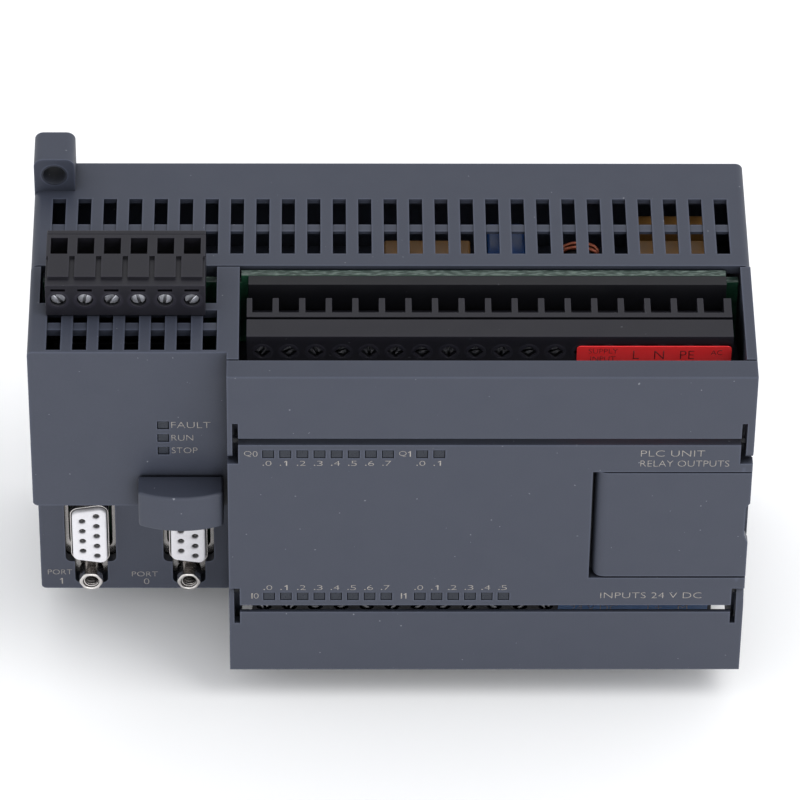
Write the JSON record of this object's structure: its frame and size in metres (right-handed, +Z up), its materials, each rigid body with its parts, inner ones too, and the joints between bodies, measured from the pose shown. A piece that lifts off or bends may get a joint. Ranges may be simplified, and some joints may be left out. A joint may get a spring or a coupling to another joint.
{
  "type": "plc module",
  "caption": "Compact programmable controller with hinged wiring doors, plug-on screw terminals, upright serial ports, lamp windows, plug-in cartridge and rail clip.",
  "frame": {"origin": "rail seat: middle of the floor of the rail channel in the back, half way across and half way up", "axes": "+X to the right seen from the front, along the rail; +Y to the rail and wall; +Z up"},
  "size_m": [0.14, 0.062, 0.0967],
  "materials": {
    "case_plastic": "fine moulded texture",
    "dark_plastic": "fine moulded texture",
    "black_plastic": "satin",
    "white_plastic": "satin",
    "blue_plastic": "satin",
    "clear_plastic": "frosted",
    "board_laminate": "solder mask",
    "red_label": "printed film",
    "blue_label": "printed film",
    "brown_parts": "resin and tape",
    "nickel": "plated",
    "copper_wire": "enamelled winding",
    "capacitor_can": "drawn can"
  },
  "bodies": {
    "module": {"rear_housing": "case_plastic", "front_frame": "case_plastic", "centre_panel": "case_plastic", "cartridge_socket": "black_plastic", "power_board": "board_laminate", "logic_board": "board_laminate", "upper_terminal_header": "black_plastic", "lower_terminal_header": "black_plastic", "upper_terminal_block": "dark_plastic", "lower_terminal_block": "dark_plastic", "upper_terminal_label": "red_label", "lower_terminal_label": "blue_label", "analog_header": "black_plastic", "status_light_pipe": "clear_plastic", "output_light_pipe": "clear_plastic", "input_light_pipe": "clear_plastic", "mode_switch_body": "black_plastic", "trimmer_1_body": "blue_plastic", "trimmer_2_body": "blue_plastic", "expansion_connector": "black_plastic", "mains_transformer": "brown_parts", "filter_choke": "copper_wire", "film_capacitor": "brown_parts", "relay_1": "blue_plastic", "relay_2": "blue_plastic", "relay_3": "blue_plastic", "pulse_transformer": "brown_parts", "dipped_capacitor": "blue_plastic", "safety_capacitor": "brown_parts", "bulk_capacitor_1": "capacitor_can", "bulk_capacitor_2": "capacitor_can", "backup_capacitor": "blue_plastic", "processor_chip": "black_plastic", "port_0_shell": "nickel", "port_0_insert": "white_plastic", "port_0_jack_upper": "nickel", "port_0_jack_lower": "nickel", "port_1_shell": "nickel", "port_1_insert": "white_plastic", "port_1_jack_upper": "nickel", "port_1_jack_lower": "nickel"},
    "upper_door": {"upper_terminal_door": "case_plastic"},
    "lower_door": {"lower_terminal_door": "case_plastic"},
    "access_flap": {"access_cover": "case_plastic"},
    "clip": {"din_clip": "black_plastic"},
    "cartridge": {"memory_cartridge": "case_plastic"},
    "plug": {"analog_plug": "dark_plastic"},
    "switch_lever": {"mode_switch_lever": "white_plastic"},
    "trimmer_1": {"trimmer_1_rotor": "white_plastic"},
    "trimmer_2": {"trimmer_2_rotor": "white_plastic"},
    "plug_screw_1": {"analog_plug_screw_1": "nickel"},
    "plug_screw_2": {"analog_plug_screw_2": "nickel"},
    "plug_screw_3": {"analog_plug_screw_3": "nickel"},
    "plug_screw_4": {"analog_plug_screw_4": "nickel"},
    "plug_screw_5": {"analog_plug_screw_5": "nickel"},
    "plug_screw_6": {"analog_plug_screw_6": "nickel"}
  },
  "joints": [
    {"name": "upper_door_hinge", "type": "hinge", "parent": "module", "child": "upper_door", "pos_m": [0, -0.0518, 0.0206], "axis": [1, 0, 0], "range_deg": [0, 86]},
    {"name": "lower_door_hinge", "type": "hinge", "parent": "module", "child": "lower_door", "pos_m": [0, -0.0518, -0.0203], "axis": [-1, 0, 0], "range_deg": [0, 86]},
    {"name": "access_cover_hinge", "type": "hinge", "parent": "module", "child": "access_flap", "pos_m": [0.0683, -0.0541, 0], "axis": [0, 0, 1], "range_deg": [0, 120]},
    {"name": "din_clip_slide", "type": "slide", "parent": "module", "child": "clip", "axis": [0, 0, -1], "range_m": [0, 0.004], "stiffness_N_per_m": 900},
    {"name": "cartridge_slide", "type": "slide", "parent": "module", "child": "cartridge", "axis": [0, -1, 0], "range_m": [0, 0.012]},
    {"name": "analog_plug_slide", "type": "slide", "parent": "module", "child": "plug", "axis": [0, 0, 1], "range_m": [0, 0.012]},
    {"name": "mode_switch_slide", "type": "slide", "parent": "module", "child": "switch_lever", "axis": [0, 0, 1], "range_m": [-0.0025, 0.0025]},
    {"name": "trimmer_1_turn", "type": "hinge", "parent": "module", "child": "trimmer_1", "pos_m": [0.0546, -0.0485, 0.008], "axis": [0, -1, 0], "range_deg": [-135, 135]},
    {"name": "trimmer_2_turn", "type": "hinge", "parent": "module", "child": "trimmer_2", "pos_m": [0.0546, -0.0485, -0.0004], "axis": [0, -1, 0], "range_deg": [-135, 135]},
    {"name": "plug_screw_1_turn", "type": "hinge", "parent": "plug", "child": "plug_screw_1", "pos_m": [-0.06415, -0.036, 0.0442], "axis": [0, -1, 0], "continuous": true},
    {"name": "plug_screw_2_turn", "type": "hinge", "parent": "plug", "child": "plug_screw_2", "pos_m": [-0.05901, -0.036, 0.0442], "axis": [0, -1, 0], "continuous": true},
    {"name": "plug_screw_3_turn", "type": "hinge", "parent": "plug", "child": "plug_screw_3", "pos_m": [-0.05387, -0.036, 0.0442], "axis": [0, -1, 0], "continuous": true},
    {"name": "plug_screw_4_turn", "type": "hinge", "parent": "plug", "child": "plug_screw_4", "pos_m": [-0.04873, -0.036, 0.0442], "axis": [0, -1, 0], "continuous": true},
    {"name": "plug_screw_5_turn", "type": "hinge", "parent": "plug", "child": "plug_screw_5", "pos_m": [-0.04359, -0.036, 0.0442], "axis": [0, -1, 0], "continuous": true},
    {"name": "plug_screw_6_turn", "type": "hinge", "parent": "plug", "child": "plug_screw_6", "pos_m": [-0.03845, -0.036, 0.0442], "axis": [0, -1, 0], "continuous": true}
  ]
}
